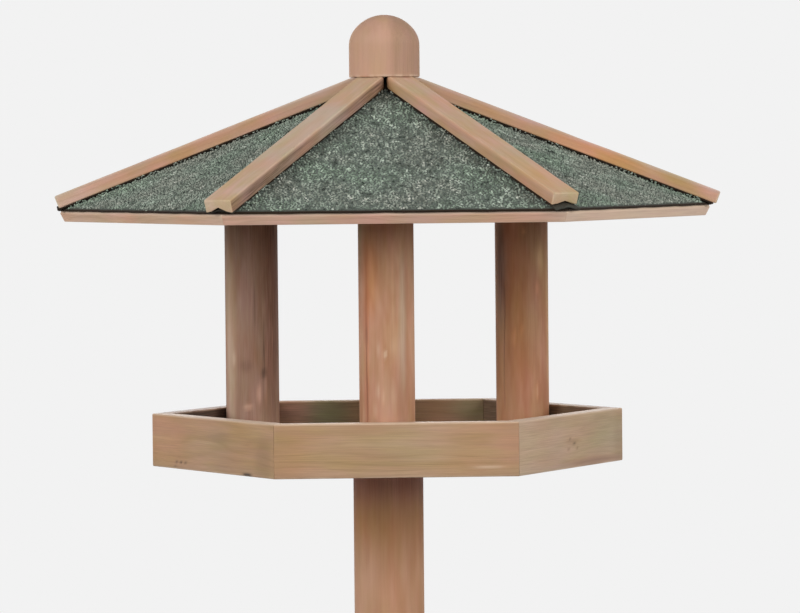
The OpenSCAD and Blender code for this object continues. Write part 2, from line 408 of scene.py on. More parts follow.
felt = {
    "sheetDrop": 1.4 * mm,    # how far the bare sheet lies under the chips' tops
    "gridStep": 5 * mm,
    "tip": 0.6 * mm,          # how far from the roof's axis the sheets and panels begin
    "ease": 0.35 * mm,
    "droop": 0.5 * mm,        # of the lower edge
    "droopDrift": (0.45 * mm, 60 * mm),
    "edgeRun": 2.6 * mm,      # bare bitumen along the eave
    "edgeDrift": (0.5, 45 * mm),
    "stray": 0.07,            # share of the chips that lie on it all the same
    "dust": 0.72,             # fine grit between the chips
    "chipPitch": 2.6 * mm,    # one chip to each square of this side, about twice a real one, so as to show
    "chipSize": (1.1 * mm, 1.9 * mm),       # half width of a chip, least and most
    "chipHeight": (1.3 * mm, 2.1 * mm),
    "chipStretch": (0.7, 1),  # width to length
    "chipCorner": (0.75, 1),  # a corner's share of the half width
    "chipSkew": 0.3,          # how far the corners stray round the waist, and the points from the middle
    "chipLean": 0.12,         # most tilt, as a slope
    "chipSink": 0.4 * mm,     # how far down some of them lie
    "heap": 2.2 * mm,         # how high the chips lie against the strips in places
    "heapReach": 3 * mm,      # how far from the strips
    "heapDrift": (1, 30 * mm),
    # Clumps of like tone: length, width and depth of tone. The long ones are on the front and back
    "longClump": (5.2 * mm, 2.5 * mm, 1.08),
    "clump": (4.2 * mm, 3.0 * mm, 0.82),
    "contrast": 1.1,          # between clumps, before the depth
    # Standout clumps: those drawn beyond the first number are paler or darker by the second for each
    # unit beyond it
    "pale": (0.83, 3.2),
    "dark": (0.13, 13),
    "chipTone": 0.04,         # how far a chip's own tone strays
    "level": 0.49,            # middle tone, from nearly black to pale
    "levels": {"front_left": 0.05, "front_right": 0.03},      # added to the level
    "batches": {"front_left": 0.05, "front_right": 0.04},     # from green towards mauve
    "batchSpread": 0.06,      # the same from chip to chip
}


strip = {
    "half": laid("hip_strip_right", hipSlope, hipTurns["right"])[1].max(),    # half the strip's width
    "gap": 0.3 * mm,          # open line between neighbours under the cap
    "ease": 0.4 * mm,
    "gridStep": (8 * mm, 3 * mm, 4 * mm),
    "endDusts": {"front_right": 0.2, "front_left": 0.1},      # grit that has settled on the lower ends
}


def blotches(along, across, step, draw):
    # A random height at each crossing of a grid, and a straight blend of the nearest four between them
    u, v = (along - along.min()) / step[0], (across - across.min()) / step[1]
    heights = draw.uniform(0, 1, (int(u.max()) + 2, int(v.max()) + 2))
    i, j = u.astype(int), v.astype(int)
    s, t = u - i, v - j
    near = heights[i, j] * (1 - t) + heights[i, j + 1] * t
    far = heights[i + 1, j] * (1 - t) + heights[i + 1, j + 1] * t
    return near * (1 - s) + far * s


def faceHalfWidth(along, up):
    # Half the width of a roof face at a place down its slope: the mitre planes stand at 30 degrees
    out = along * math.cos(faceSlope) + up * math.sin(faceSlope)
    return np.maximum((out - felt["tip"]) * tanHalf, 0.05 * mm)


def feltSheet(side):
    # A thin wedge-shaped sheet: a block's width follows the mitre planes down the slope, and its
    # lower edge droops and wavers a little
    wide = float(faceHalfWidth(faceLength, 0))
    low = (felt["tip"] * 2, -wide, -feltT)
    high = (faceLength, wide, -felt["sheetDrop"])
    points, _, faces = block(low, high, felt["gridStep"], felt["ease"])
    along, across, up = points.T
    nearEave = np.clip(1 - (faceLength - along) / (6 * mm), 0, 1)
    dust = felt["dust"] * (along < faceLength - 1.6 * felt["edgeRun"])
    droop = felt["droop"] + wander(across, *felt["droopDrift"], 20 + sideNames.index(side))
    along = along - nearEave * droop
    across = across * faceHalfWidth(along, up) / wide
    points = sloped(faceSlope, roofTurns[side], along, across, up)
    makePiece("felt_sheet_" + side, points, faces, feltSheetFinish, "mineral_felt", ["roof_felt_" + side],
              dust=dust)


def feltChips(side):
    # Six-cornered grains: a top and a bottom point and four round the waist, each stretched, turned
    # and tilted at random, one in each square of a jittered grid over the face. They are shaded smooth,
    # because flat facets of this size would glitter as the smaller real ones don't
    draw = np.random.default_rng(100 + sideNames.index(side))
    pitch = felt["chipPitch"]
    count = int(faceLength / pitch)
    u, v = np.meshgrid(np.arange(count), np.arange(-count, count), indexing="ij")
    along = (u.ravel() + draw.uniform(0, 1, u.size)) * pitch
    across = (v.ravel() + draw.uniform(0, 1, v.size)) * pitch
    size = draw.uniform(*felt["chipSize"], along.size)
    corner = math.atan(math.cos(faceSlope) * tanHalf)
    room = (faceHalfWidth(along, 0) - np.abs(across)) * math.cos(corner) - strip["half"]
    bare = draw.uniform(0, 1, along.size) > felt["stray"]
    run = felt["edgeRun"] * (1 + wander(across, *felt["edgeDrift"], 50)) * bare
    keep = (room > -1 * mm) & (along < faceLength - run - size) & (along > 8 * mm)
    along, across, size, room = along[keep], across[keep], size[keep], room[keep]
    n = along.size
    height = draw.uniform(*felt["chipHeight"], n)
    spin = draw.uniform(0, 2 * math.pi, n)
    stretch = draw.uniform(*felt["chipStretch"], n)
    skew = felt["chipSkew"]
    waist = spin[:, None] + np.arange(4) * math.pi / 2 + draw.uniform(-skew, skew, (n, 4))
    reach = size[:, None] * draw.uniform(*felt["chipCorner"], (n, 4))
    reach = reach * np.where(np.arange(4) % 2, stretch[:, None], 1)
    lean = draw.uniform(-felt["chipLean"], felt["chipLean"], (n, 2))
    chipX = np.concatenate([reach * np.cos(waist), draw.uniform(-skew, skew, (n, 2)) * size[:, None]], 1)
    chipY = np.concatenate([reach * np.sin(waist), draw.uniform(-skew, skew, (n, 2)) * size[:, None]], 1)
    chipZ = chipX * lean[:, :1] + chipY * lean[:, 1:]
    chipZ[:, 4] += height * 0.55
    chipZ[:, 5] -= height * 0.55
    heaped = np.clip(1 - room / felt["heapReach"], 0, 1)
    heaped = heaped * np.clip(0.55 + wander(along, *felt["heapDrift"], 51), 0, 1)
    chipZ = chipZ - chipZ.max(1, keepdims=True) - draw.uniform(0, 1, (n, 1)) ** 2 * felt["chipSink"]
    chipZ = chipZ + (heaped * felt["heap"])[:, None]
    points = sloped(faceSlope, roofTurns[side], along[:, None] + chipX, across[:, None] + chipY, chipZ)
    ring = np.arange(4)
    after = (ring + 1) % 4
    top = np.stack([ring, after, np.full(4, 4)], 1)
    bottom = np.stack([after, ring, np.full(4, 5)], 1)
    one = np.concatenate([top, bottom])
    faces = (one[None] + 6 * np.arange(n)[:, None, None]).reshape(-1, 3)
    *clumpSize, depth = felt["longClump" if side in ("front", "back") else "clump"]
    clump = blotches(along, across, clumpSize, draw)
    specks = blotches(along, across, clumpSize, draw)
    paleOver, paler = felt["pale"]
    darkUnder, darker = felt["dark"]
    clump = felt["contrast"] * (clump - 0.5)
    clump = clump + paler * np.maximum(specks - paleOver, 0) - darker * np.maximum(darkUnder - specks, 0)
    clump = clump + draw.uniform(-felt["chipTone"], felt["chipTone"], n)
    level = felt["level"] + felt["levels"].get(side, 0)
    kind = np.repeat(level + depth * clump, 6).clip(0, 1)
    spread = felt["batchSpread"]
    batch = np.repeat(felt["batches"].get(side, 0) + draw.uniform(-spread, spread, n), 6)
    makePiece("felt_chips_" + side, points.reshape(-1, 3), [faces], chipStone, "mineral_felt", [],
              chip=kind, batch=batch)


for side in sideNames:
    feltSheet(side)
    feltChips(side)
print("felt laid")

# Strips over the hips


def mitreStart(across, up, gap):
    # Where a length laid on a hip begins: at the two mitre planes, 30 degrees either side of the hip
    out = np.abs(across) / tanHalf + gap
    return (out - up * math.sin(hipSlope)) / math.cos(hipSlope)


def hipStrip(corner):
    # A strip folded over the ridge: a flat block whose height falls away to each side with the two faces
    alongs, acrosses, ups = laid("hip_strip_" + corner, hipSlope, hipTurns[corner])
    length, wide, rise = alongs.max(), acrosses.max(), ups.max()
    points, _, faces = block((0, -wide, 0), (length, wide, rise), strip["gridStep"], strip["ease"])
    along, across, up = points.T
    up = up - np.abs(across) * hipFall
    start = mitreStart(across, up, strip["gap"])
    along = start + along * (length - start) / length
    points = sloped(hipSlope, hipTurns[corner], along, across, up)
    dust = strip["endDusts"].get(corner, 0) * np.clip((along - length) / (12 * mm) + 1, 0, 1)
    makePiece("felt_strip_" + corner, points, faces, stripFinish, "strip_felt", ["hip_strip_" + corner],
              dust=dust)


# Battens

batten = {
    "grooveHalf": 8 * mm,     # half the width of the groove along the underside
    "gap": 3 * mm,            # open line between neighbours under the cap
    "ease": (2.2 * mm, 0.9 * mm, 0.9 * mm),    # the ends are rounded more
    "gridStep": (3 * mm, 1.6 * mm, 1.6 * mm),
    "topToneAndLight": 0.25,          # the planed top is paler than the sawn sides, and painted light makes it paler still
    "endTone": 0.5,
    "endFlush": -0.4,
    "rubbed": 0.35,           # how strongly the arrises are rubbed pale
    "rims": {"right": 1, "left": 0.6},    # how weathered the upper arris of the side battens is
    "rimTone": -0.2,
    "rimWarmth": -2,
    "wearDrift": (0.25 * mm, 170 * mm),   # how far the tops are worn down in places
    "warmthDrift": (0.4, 240 * mm),
    "flushDrift": (0.4, 90 * mm),
    # The groove's point over the strip's ridge, and how closely the underside follows the ridge's falls
    "grooveHeight": 1.5 * mm,
    "grooveHeights": {"front_left": 0.6 * mm, "front_right": 0.1 * mm},
    "falls": {"front_right": 0.75},
    # Darker sides: sawn wood with painted shade, deepest on the front left
    "sideToneAndShade": {"right": -0.12, "back_right": -0.2, "back_left": -0.1, "left": -0.1, "front_left": -0.88,
                  "front_right": -0.32},
    "warmths": {"right": 0.6, "back_right": 0.3, "back_left": 0.2, "left": 0.1, "front_left": -0.2,
                "front_right": 0.3},
    # Where the stain differs: place along and half length, then how much paler, warmer and pinker
    "stains": {
        "right": [(200, 55, 0.1, 0.9, 0.5), (285, 22, -0.05, 0.1, -0.5), (322, 16, 0, -1.2, 0.6)],
        "left": [(300, 30, 0.1, -0.4, 0.4), (205, 24, 0, 0.3, -0.2), (255, 14, 0, 0, 0.7),
                 (160, 30, 0, 0.2, 0.5)],
        "front_left": [(322, 12, 0, 0, 0.1), (304, 9, 0.1, -0.8, 0.6), (200, 26, 0, 0.5, -0.4),
                       (145, 60, 0.34, -0.3, 0)],
        "front_right": [(320, 12, -0.1, 0, -0.3), (260, 34, 0, 0.7, 0.1)],
    },
}


def hipBatten(corner):
    # A block eased on its arrises; its underside follows the ridge's two falls, with a V-shaped groove
    # along the middle, and its upper end is cut by the mitre planes and level under the cap
    ridge = laid("hip_strip_" + corner, hipSlope, hipTurns[corner])[2].max()
    alongs, acrosses, ups = laid("hip_batten_" + corner, hipSlope, hipTurns[corner])
    length, wide, thick = alongs.max(), acrosses.max(), ups.max() - ridge
    edge = batten["grooveHalf"]
    step, ease = batten["gridStep"], np.array(batten["ease"])
    outer = lines(edge, wide, step[1], ease[1])[4:]
    inner = np.linspace(0, edge, 5)
    acrossLines = np.concatenate([-outer[::-1], -inner[:0:-1], inner, outer])
    points, faces = shell(lines(0, length, step[0], ease[0]), acrossLines,
                          lines(0, thick, step[2], ease[2]))
    points, depth = eased(points, (0, -wide, 0), (length, wide, thick), ease)
    along, across, up = points.T
    seed = 11 + cornerNames.index(corner)
    pith = (9 * mm * math.sin(seed), 26 * mm + 8 * mm * math.cos(seed))
    grain = np.stack([along + seed, across + pith[0], up + pith[1]], 1)
    fall = hipFall * batten["falls"].get(corner, 1)
    point = batten["grooveHeights"].get(corner, batten["grooveHeight"]) + edge * fall
    groove = np.clip(1 - np.abs(across) / edge, 0, 1) * point
    under = groove - np.abs(across) * fall
    worn = np.clip(wander(along, *batten["wearDrift"], seed), 0, 1)
    up = ridge + up + under * (1 - up / thick) - worn * up / thick
    level = (apexZ - capLow[2] + up * math.cos(hipSlope)) / math.sin(hipSlope)
    start = np.maximum(mitreStart(across, up, batten["gap"]), level)
    along = start + along * (length - start) / length
    onTop = np.clip((up - ridge) / thick * 3 - 2, 0, 1)
    points = sloped(hipSlope, hipTurns[corner], along, across, up)
    # Paler top with painted light, darker sides with painted shade
    tone = batten["topToneAndLight"] * onTop + batten["sideToneAndShade"][corner] * (1 - onTop)
    atEnd = np.clip((along - length) / mm + 2, 0, 1)
    tone = tone * (1 - atEnd) + batten["endTone"] * atEnd
    warmth = batten["warmths"][corner] + wander(along, *batten["warmthDrift"], seed + 40)
    rim = batten["rims"].get(corner, 0) * np.clip(1 - (ridge + thick - up) / (4 * mm), 0, 1)
    tone = tone + batten["rimTone"] * rim
    warmth = warmth + batten["rimWarmth"] * rim
    flush = wander(along, *batten["flushDrift"], seed + 20) + batten["endFlush"] * atEnd
    for middle, reach, paler, warmer, pinker in batten["stains"].get(corner, []):
        here = np.exp(-((along / mm - middle) / reach) ** 2)
        tone = tone + paler * here
        warmth = warmth + warmer * here
        flush = flush + pinker * here
    arris = batten["rubbed"] * np.clip(1 - depth / (1.5 * mm), 0, 1) * (1 - atEnd)
    makePiece("batten_" + corner, points, faces, battenWood, "batten_wood", ["hip_batten_" + corner],
              grainPlace=grain, tone=tone, arris=arris, tint=tinted(warmth, flush))


for corner in cornerNames:
    hipStrip(corner)
    hipBatten(corner)
print("strips and battens laid")

# Roof panels

panel = {
    "chamfer": 2.4 * mm,      # eased upper arris of the eave
    "ease": (0.7 * mm, 0.15 * mm, 0.7 * mm),   # the mitred edges are rounded less
    "mitreReach": 0.3 * mm,   # how much closer to its neighbours than the felt each board comes
    "gridStep": (6 * mm, 6 * mm, 1.3 * mm),
    # Per board: partly the wood's own tone, partly painted light on the eave, paler and cooler on the front
    # right
    "tones": {"back_right": 0.1, "front_left": 0.15, "front_right": 0.9},
    "warmths": {"back": 0.2, "front_right": -0.8},
    "flushes": {"front_right": 0.5},
    "toneDrift": (0.12, 300 * mm),
    "warmthDrift": (0.3, 130 * mm),
    "flushDrift": (0.4, 110 * mm),
    "sawnDrift": (0.15 * mm, 90 * mm),    # of the eave's edge
    # A painted highlight on the planed chamfer of the eave: paler and cooler
    "chamferHighlightTone": 0.5,
    "chamferHighlightWarmth": -0.8,
}


def roofPanel(side):
    # A wedge-shaped board, its width following the mitre planes, its eave cut square to the slope
    # with the upper arris planed off
    wide = float(faceHalfWidth(panelLength, -feltT))
    low = (1.5 * mm, -wide, -feltT - panelT)
    high = (panelLength, wide, -feltT)
    points, depth, faces = block(low, high, panel["gridStep"], panel["ease"])
    along, across, up = points.T
    seed = 30 + sideNames.index(side)
    grain = np.stack([across + seed, along - 0.7 * panelLength + 11 * mm * math.sin(seed), up + 60 * mm], 1)
    over = np.maximum((along - high[0]) + (up - high[2]) + panel["chamfer"], 0)
    sawn = wander(across, *panel["sawnDrift"], seed) ** 2 / mm
    along = along - over / 2 - np.clip(along / panelLength, 0, 1) * sawn
    up = up - over / 2
    across = across * (faceHalfWidth(along, up) + panel["mitreReach"]) / wide
    points = sloped(faceSlope, roofTurns[side], along, across, up)
    # Painted highlight on the chamfer
    planed = np.clip(over / mm, 0, 1)
    tone = panel["tones"].get(side, 0) + wander(across, *panel["toneDrift"], seed + 9)
    tone = tone + panel["chamferHighlightTone"] * planed
    warmth = panel["warmths"].get(side, 0) + wander(across, *panel["warmthDrift"], seed + 5)
    warmth = warmth + panel["chamferHighlightWarmth"] * planed
    flush = panel["flushes"].get(side, 0) + wander(across, *panel["flushDrift"], seed + 15)
    arris = np.clip(1 - depth / (1.2 * mm), 0, 1)
    makePiece("panel_" + side, points, faces, panelWood, "panel_wood", ["roof_panel_" + side],
              grainPlace=grain, tone=tone, arris=arris, tint=tinted(warmth, flush))


for side in sideNames:
    roofPanel(side)
print("roof panels made")

# Cap

cap = {
    "straight": 29 * mm,
    "shoulder": 24 * mm,      # radius of the arc from the side to the crown
    "crown": 34.41 * mm,      # radius of the arc over the top
    "ease": 1.0 * mm,
    "angles": 96,
    "rightTone": -0.3,        # the right half of the front is darker
}


def ringFaces(rows, count):
    # Faces of a stack of closed rings, each of count points, then one pole below and one above
    first = np.arange(rows * count).reshape(rows, count)
    after = np.roll(first, -1, 1)
    quads = np.stack([first[:-1], after[:-1], after[1:], first[1:]], -1).reshape(-1, 4)
    low, high = rows * count, rows * count + 1
    bottom = np.stack([after[0], first[0], np.full(count, low)], 1)
    top = np.stack([first[-1], after[-1], np.full(count, high)], 1)
    return [quads, np.concatenate([bottom, top])]


def turnedCap():
    # A surface of revolution: the profile runs from the middle of the seat out to the eased base edge,
    # up the straight side, round the shoulder's arc and over the crown's arc to the pole
    radius = capHigh[0]
    ease = cap["ease"]
    corner = np.linspace(-math.pi / 2, 0, 5)
    seatX = radius * np.array([0.25, 0.5, 0.75, 0.9])
    baseX = np.concatenate([seatX, radius - ease + ease * np.cos(corner)])
    baseZ = np.concatenate([0 * seatX, ease + ease * np.sin(corner)])
    sideZ = np.linspace(ease, cap["straight"], 16)[1:]
    shoulderX = radius - cap["shoulder"]
    crownZ = capHigh[2] - capLow[2] - cap["crown"]
    meet = math.atan2(cap["straight"] - crownZ, shoulderX)
    shoulderTurn = np.linspace(0, meet, 22)[1:]
    crownTurn = np.linspace(meet, math.pi / 2, 12)[1:-1]
    profileX = np.concatenate([baseX, radius + 0 * sideZ,
                               shoulderX + cap["shoulder"] * np.cos(shoulderTurn),
                               cap["crown"] * np.cos(crownTurn)])
    profileZ = np.concatenate([baseZ, sideZ,
                               cap["straight"] + cap["shoulder"] * np.sin(shoulderTurn),
                               crownZ + cap["crown"] * np.sin(crownTurn)])
    angle = np.arange(cap["angles"]) * 2 * math.pi / cap["angles"]
    x = profileX[:, None] * np.cos(angle)
    y = profileX[:, None] * np.sin(angle)
    z = capLow[2] + profileZ[:, None] + 0 * x
    points = np.stack([x, y, z], -1).reshape(-1, 3)
    points = np.concatenate([points, [[0, 0, capLow[2]], [0, 0, capHigh[2]]]])
    faces = ringFaces(len(profileX), cap["angles"])
    grain = np.stack([points[:, 2] + 5, points[:, 0] - 14 * mm, points[:, 1] + 30 * mm], 1)
    edge = np.abs(points[:, 2] - capLow[2]) + np.abs(np.hypot(points[:, 0], points[:, 1]) - radius)
    arris = np.clip(1.5 - edge / (2 * mm), 0, 1)
    tone = cap["rightTone"] * np.clip((points[:, 0] - 1 * mm) / (8 * mm), 0, 1) * (points[:, 1] < 0)
    makePiece("cap_turned", points, faces, capWood, "cap_wood", ["cap"], grainPlace=grain,
              tone=tone, arris=arris)


turnedCap()
print("cap turned")

# Round stock: uprights, post and legs


def roundStock(radius, startAt, endAt, settings, seed):
    # A round bar as rings of points: each ring's radius wavers slowly with the angle and the length, and
    # narrow checks are cut into it. startAt and endAt give the place of the cut ends for a point of the
    # section, and the rings between them are spaced evenly. Gives each point's place along the bar, its
    # two coordinates in the section and how deep in a check it lies (0 to 1), and the faces
    ease = settings["ease"]
    count = settings["angles"]
    angle = np.arange(count) * 2 * math.pi / count
    for check in settings["checks"]:
        halfTurn = check["half"] / radius
        near = check["turn"] + np.array([-2.2, -1.3, -0.75, -0.35, 0, 0.35, 0.75, 1.3, 2.2]) * halfTurn
        apart = np.abs((angle[:, None] - near + math.pi) % (2 * math.pi) - math.pi).min(1)
        angle = np.sort(np.concatenate([angle[apart > 0.6 * halfTurn], near % (2 * math.pi)]))
    shrink = np.array([0.3, 0.6, 0.85, 1 - ease / radius, 1 - 0.3 * ease / radius, 1])
    back = np.array([0, 0, 0, 0, 0.3 * ease, ease])
    body = np.linspace(0, 1, settings["rows"] + 1)[1:-1]
    share = np.concatenate([shrink, np.ones(len(body)), shrink[::-1]])[:, None]
    t = np.concatenate([np.zeros(6), body, np.ones(6)])[:, None]
    inset = np.concatenate([back, ease * (1 - 2 * body), -back[::-1]])[:, None]
    length = float(endAt(np.zeros(1), np.zeros(1))[0] - startAt(np.zeros(1), np.zeros(1))[0])
    draw = np.random.default_rng(seed)
    waver = 0 * (t + angle)
    for k in range(2, 6):
        phase = draw.uniform(0, 7)
        twist = draw.uniform(-1, 1) * t * length / (90 * mm)
        waver = waver + np.sin(k * angle + phase + twist) / k
    cut = 0 * waver
    for check in settings["checks"]:
        middle = check["turn"] + wander(t * length, check["drift"] / radius, 160 * mm, seed + 1)
        apart = (angle - middle + math.pi) % (2 * math.pi) - math.pi
        place = (t * length - check["from"]) / (check["to"] - check["from"])
        deep = np.clip(4 * place * (1 - place), 0, 1) ** 0.5 * (place > 0) * (place < 1)
        cut = cut + deep * np.clip(1 - np.abs(apart) * radius / check["half"], 0, 1)
    loss = settings["waver"] * (0.5 + 0.5 * waver) + settings["checkDepth"] * cut
    r = (radius - loss) * share
    u = r * np.cos(angle)
    v = r * np.sin(angle)
    start, end = startAt(u, v), endAt(u, v)
    along = start + (end - start) * t + inset
    poles = [float(startAt(np.zeros(1), np.zeros(1))[0]), float(endAt(np.zeros(1), np.zeros(1))[0])]
    faces = ringFaces(len(share), len(angle))
    flat = [np.concatenate([values.ravel(), tail]) for values, tail in
            ((along, poles), (u, [0, 0]), (v, [0, 0]), (cut, [0, 0]))]
    return flat, faces


upright = {
    "ease": 0.8 * mm,
    "angles": 72,
    "rows": 90,
    "waver": 0.35 * mm,
    "checkDepth": 0.7 * mm,
    # Painted shade: the checks are drawn darker inside
    "checkShadeTone": -0.5,
    "tones": {"back_right": -0.24, "back_left": -0.42, "front": 0.03},
    "warmths": {"back_right": 0.6, "back_left": -1.0, "front": 0.1},
    # Marks on the front half: height over the tray's rim and place round from the front, half lengths
    # up and round, strength. The wide dark ones 200 mm up are painted shade under the roof
    "marks": {
        "back_right": [(60, -16, 80, 14, 0.15), (170, 12, 26, 14, -0.3), (90, 0, 44, 40, -0.15),
                       (130, -25, 50, 7, -0.5), (14, 12.9, 8, 1.6, 0.5), (65, -9.7, 10, 1.3, 0.5),
                       (72, -1.3, 6, 1.1, 0.4), (163, 0.6, 3, 1.7, 0.5), (110, 13.5, 6, 1.6, 0.4),
                       (139, 17, 14, 4, 0.35), (100, 30, 100, 5, 0.4)],
        "back_left": [(200, 0, 45, 60, -0.38), (85, 22, 120, 11, -0.35), (60, -25, 100, 9, 0.75),
                      (14, 6, 9, 2, 0.7), (2, -4.5, 3, 4, 0.7), (33, 11, 5, 3, -0.5),
                      (95, 12, 11, 1, 0.4), (66, 10, 8, 0.9, 0.35), (46, -19, 7, 2, 0.45),
                      (53, 11, 28, 0.9, -0.3), (20, 13, 15, 1.1, 0.3), (40, -6, 6, 6, -0.25),
                      (96, 2, 22, 1.2, -0.25)],
        "front": [(200, 0, 42, 60, -0.52), (75, -21.4, 75, 1.9, -0.4), (76, -21.6, 9, 2.2, -0.3),
                  (118, 7.4, 40, 1.2, -0.25), (90, 14.4, 62, 2.8, 0.35), (60, -2.7, 3.5, 1.4, 0.75),
                  (27, -9.6, 8, 1.5, 0.5), (22, -5, 7, 1, 0.4), (10, -12, 7, 2.5, 0.25),
                  (10, 5, 40, 30, -0.12), (145, -15, 36, 10, -0.2), (60, -30, 90, 5, -0.15),
                  (64, -9, 6, 1, 0.3)],
    },
    # Where the stain is warmer or cooler, and where pinker or more olive, in the same way. The wide warm
    # ones 200 mm up are not stain but the colour of the painted shade under the roof
    "warmer": {
        "back_right": [(90, -8, 70, 10, 0.8), (130, -25, 50, 7, -1.5)],
        "back_left": [(90, 18, 90, 8, 0.8), (200, 0, 45, 60, 0.5)],
        "front": [(130, -16, 36, 8, 1.8), (60, -21, 70, 2.5, 0.9), (90, 14.4, 62, 3.5, -0.5),
                  (20, 6, 40, 12, -0.5), (200, 0, 45, 60, 0.6)],
    },
    "pinker": {
        "back_right": [(30, 10, 40, 14, 0.5), (139, 17, 20, 6, -0.7), (100, 30, 100, 6, -0.6)],
        "back_left": [(60, -24, 110, 10, -0.6), (90, 22, 100, 8, 0.6), (200, -24, 50, 12, -0.5)],
        "front": [(60, -21, 80, 3, 0.7), (90, 14.4, 70, 4, -0.7), (20, 0, 40, 14, 0.3),
                  (180, -32, 50, 6, -1.5)],
    },
    "checks": {
        "back_right": [{"turn": 3.9, "half": 0.9 * mm, "drift": 1.0 * mm, "from": 30 * mm, "to": 150 * mm}],
        "back_left": [{"turn": 1.2, "half": 0.7 * mm, "drift": 1.2 * mm, "from": 60 * mm, "to": 200 * mm}],
        "front": [{"turn": 3.86, "half": 1.0 * mm, "drift": 0.5 * mm, "from": 20 * mm, "to": 110 * mm}],
    },
}


def roundUpright(side):
    # Stands on the tray's floor and is cut to the underside of the roof panel over it
    low, high = boxArrays("upright_" + side)
    radius = (high[0] - low[0]) / 2
    middle = (low + high) / 2
    turn = roofTurns[side]

    def foot(u, v):
        return floorHigh[2] + 0 * u

    def head(u, v):
        out = (middle[0] + u) * math.cos(turn) + (middle[1] + v) * math.sin(turn)
        return panelUnderZ - out * math.tan(faceSlope)

    settings = dict(upright, checks=upright["checks"][side])
    seed = 60 + sideNames.index(side)
    (along, u, v, cut), faces = roundStock(radius, foot, head, settings, seed)
    points = np.stack([middle[0] + u, middle[1] + v, along], 1)
    grain = np.stack([along + seed, u + 13 * mm * math.sin(seed), v + 13 * mm * math.cos(seed)], 1)
    arris = np.clip(1 - np.abs(along - floorHigh[2]) / (2 * mm), 0, 1) * 0.5
    tone = upright["tones"][side] + upright["checkShadeTone"] * cut
    above, around = along - trayHigh[2], radius * np.arctan2(u, -v)
    # The marks hold painted shade under the roof at the top of the back left and front uprights
    tone = tone + spots(above, around, upright["marks"][side])
    warmth = upright["warmths"][side] + spots(above, around, upright["warmer"][side])
    flush = spots(above, around, upright["pinker"][side])
    makePiece("upright_round_" + side, points, faces, uprightWood, "upright_wood", ["upright_" + side],
              grainPlace=grain, tone=tone, arris=arris, tint=tinted(warmth, flush))


for side in uprightSides:
    roundUpright(side)

post = {
    "ease": 1.0 * mm,
    "angles": 96,
    "rows": 220,
    "waver": 0.4 * mm,
    "checkDepth": 3 * mm,
    # Painted shade: the checks are drawn darker inside
    "checkShadeTone": -0.6,
    "checks": [{"turn": 0.6, "half": 0.9 * mm, "drift": 1.5 * mm, "from": 300 * mm, "to": 820 * mm},
               {"turn": 3.6, "half": 0.7 * mm, "drift": 1.5 * mm, "from": 120 * mm, "to": 640 * mm}],
    # Bands of painted shade under the tray, darkest at the top, then reddish and orange where it lifts:
    # distance below the top and half length in mm, power of the fall-off at their edges, then how much
    # paler, warmer and pinker
    "bands": [(0, 60, 2, -0.16, 0, 0), (0, 32, 4, -0.36, -0.7, 1.45), (52, 28, 2, -0.1, 1.1, -0.35)],
    "warmth": 0.1,
    "footTone": -0.25,        # damp from the ground
    # Painted light: the left of the front is made paler
    "leftLightTone": 0.2,          # the left of the front is paler
}


def roundPost():
    # From the ground to the underside of the tray's floor. A band of painted shade under the tray
    # falls with the given power of the distance from its middle
    def foot(u, v):
        return postLow[2] + 0 * u

    def head(u, v):
        return postHigh[2] + 0 * u

    (along, u, v, cut), faces = roundStock(postHigh[0], foot, head, post, 70)
    grain = np.stack([along + 3, u + 9 * mm, v + 16 * mm], 1)
    # Painted light on the left of the front
    left = np.clip((-10 * mm - u) / (18 * mm), 0, 1) * (v < 0)
    damp = np.exp(-along / (60 * mm))
    tone = post["checkShadeTone"] * cut + post["footTone"] * damp + post["leftLightTone"] * left
    warmth = post["warmth"] + 0 * along
    flush = 0 * along
    for middle, reach, power, paler, warmer, pinker in post["bands"]:
        band = np.exp(-(((postHigh[2] - along) / mm - middle) / reach) ** power)
        tone = tone + paler * band
        warmth = warmth + warmer * band
        flush = flush + pinker * band
    makePiece("post_round", np.stack([u, v, along], 1), faces, postWood, "post_wood", ["post"],
              grainPlace=grain, tone=tone, arris=0 * along, tint=tinted(warmth, flush))


roundPost()

leg = {
    "ease": 1.0 * mm,
    "angles": 72,
    "rows": 90,
    "waver": 0.35 * mm,
    "checkDepth": 3 * mm,
    # Painted shade: the checks are drawn darker inside
    "checkShadeTone": -1.1,
    "footTone": -0.35,        # damp from the ground
    "checks": [{"turn": 1.2, "half": 0.7 * mm, "drift": 1.0 * mm, "from": 60 * mm, "to": 260 * mm}],
}


def splayedLeg(side):
    # Leans in to the post: its foot is cut level on the ground and its head coped round the post.
    # Along its axis from the foot, u across the lean and v out of it
    radius = legHigh[0]
    cope = math.hypot(legHigh[1], radius)
    lean = math.atan((-legLow[1] - cope) / legHigh[2])
    reach = -legLow[1] - radius / math.cos(lean)
    sinLean, cosLean = math.sin(lean), math.cos(lean)

    def foot(u, v):
        return -v * sinLean / cosLean

    def head(u, v):
        return (reach + v * cosLean - np.sqrt(cope ** 2 - u ** 2)) / sinLean

    seed = 80 + sideNames.index(side)
    (along, u, v, cut), faces = roundStock(radius, foot, head, leg, seed)
    out = reach - along * sinLean + v * cosLean
    points = turned(sideTurn[side], out, -u, np.maximum(along * cosLean + v * sinLean, 0))
    grain = np.stack([along + seed, u + 12 * mm, v - 11 * mm], 1)
    damp = np.exp(-points[:, 2] / (40 * mm))
    tone = leg["checkShadeTone"] * cut + leg["footTone"] * damp
    makePiece("leg_round_" + side, points, faces, postWood, "post_wood", ["leg_" + side],
              grainPlace=grain, tone=tone, arris=0 * along)


for side in uprightSides:
    splayedLeg(side)
print("round stock made")

# Tray

